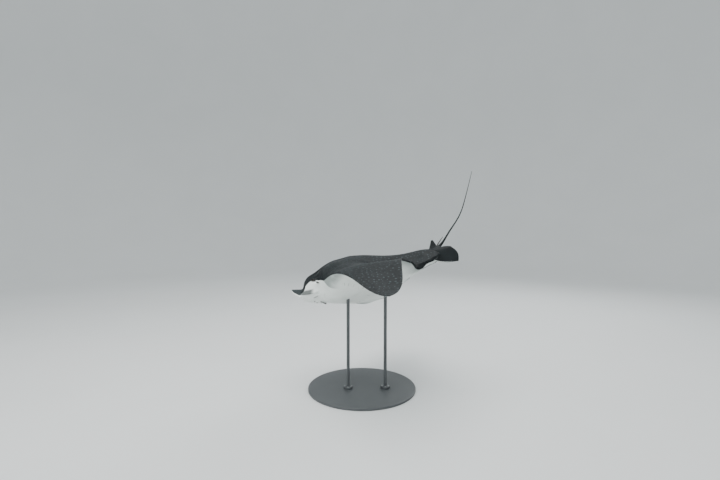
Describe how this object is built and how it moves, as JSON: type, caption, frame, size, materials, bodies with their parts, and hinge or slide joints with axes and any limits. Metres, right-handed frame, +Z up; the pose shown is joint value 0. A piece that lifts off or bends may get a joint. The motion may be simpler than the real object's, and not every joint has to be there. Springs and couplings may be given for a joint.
{
  "type": "spotted eagle ray, life-size display model on a stand",
  "caption": "Still, life-size spotted eagle ray with raised tail and bent wings, banking on two rods over a round steel base.",
  "frame": {"origin": "centre of the underside of the round base, on the floor", "axes": "+Z up, -Y the way the ray heads, +X towards the ray's left wing"},
  "size_m": [1.2955, 1.0922, 1.2705],
  "materials": {
    "skin": "painted resin cast, satin: near-black back with pale spots, white belly",
    "eye": "polished",
    "sting": "matte",
    "stand_steel": "fine satin powder coat"
  },
  "bodies": {
    "root": {"snout_lobe": "skin", "head": "skin", "trunk": "skin", "tail_root": "skin", "tail_length_1": "skin", "tail_length_2": "skin", "tail_length_3": "skin", "tail_length_4": "skin", "tail_length_5": "skin", "wing_inner_left": "skin", "wing_inner_right": "skin", "wing_outer_left": "skin", "wing_outer_right": "skin", "pelvic_fin_left": "skin", "pelvic_fin_right": "skin", "dorsal_fin": "skin", "eye_left": "eye", "eye_right": "eye", "sting": "sting", "stand_base": "stand_steel", "stand_rod_front": "stand_steel", "stand_rod_rear": "stand_steel"}
  },
  "joints": []
}
